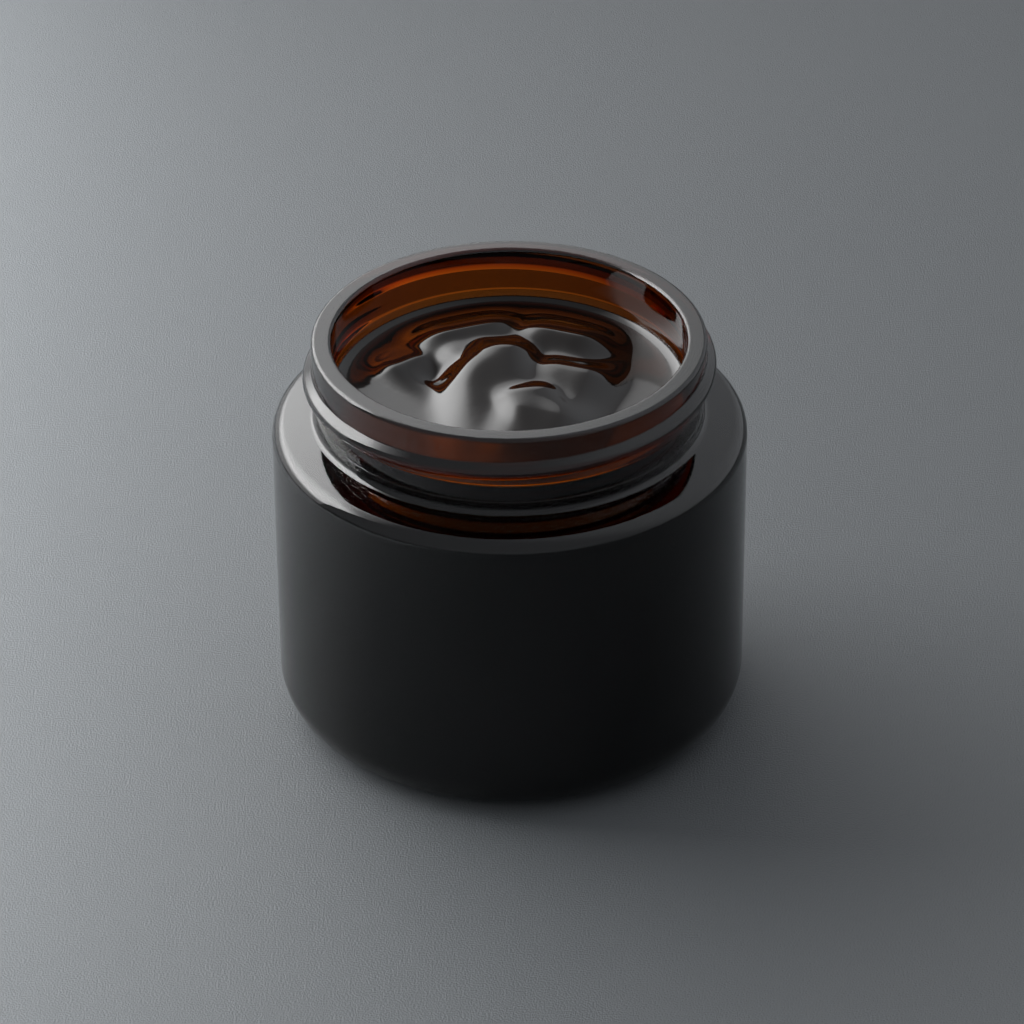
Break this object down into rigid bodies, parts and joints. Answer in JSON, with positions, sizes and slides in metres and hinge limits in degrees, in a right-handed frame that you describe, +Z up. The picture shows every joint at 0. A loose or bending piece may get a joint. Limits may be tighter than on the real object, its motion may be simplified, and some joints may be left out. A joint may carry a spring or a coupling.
{
  "type": "cosmetic cream jar",
  "caption": "Straight-sided amber glass jar with a screw neck, filled with a dark set balm, standing open.",
  "frame": {"origin": "centre of the bearing ring on which the jar stands", "axes": "+Z up along the jar's axis, out of the mouth; +X and +Y are across it, with the thread's upper end near -X"},
  "size_m": [0.0544, 0.0544, 0.0478],
  "materials": {
    "amber_glass": "polished amber glass",
    "balm": "glossy set balm"
  },
  "bodies": {
    "root": {"glass_jar": "amber_glass", "balm_fill": "balm"}
  },
  "joints": []
}
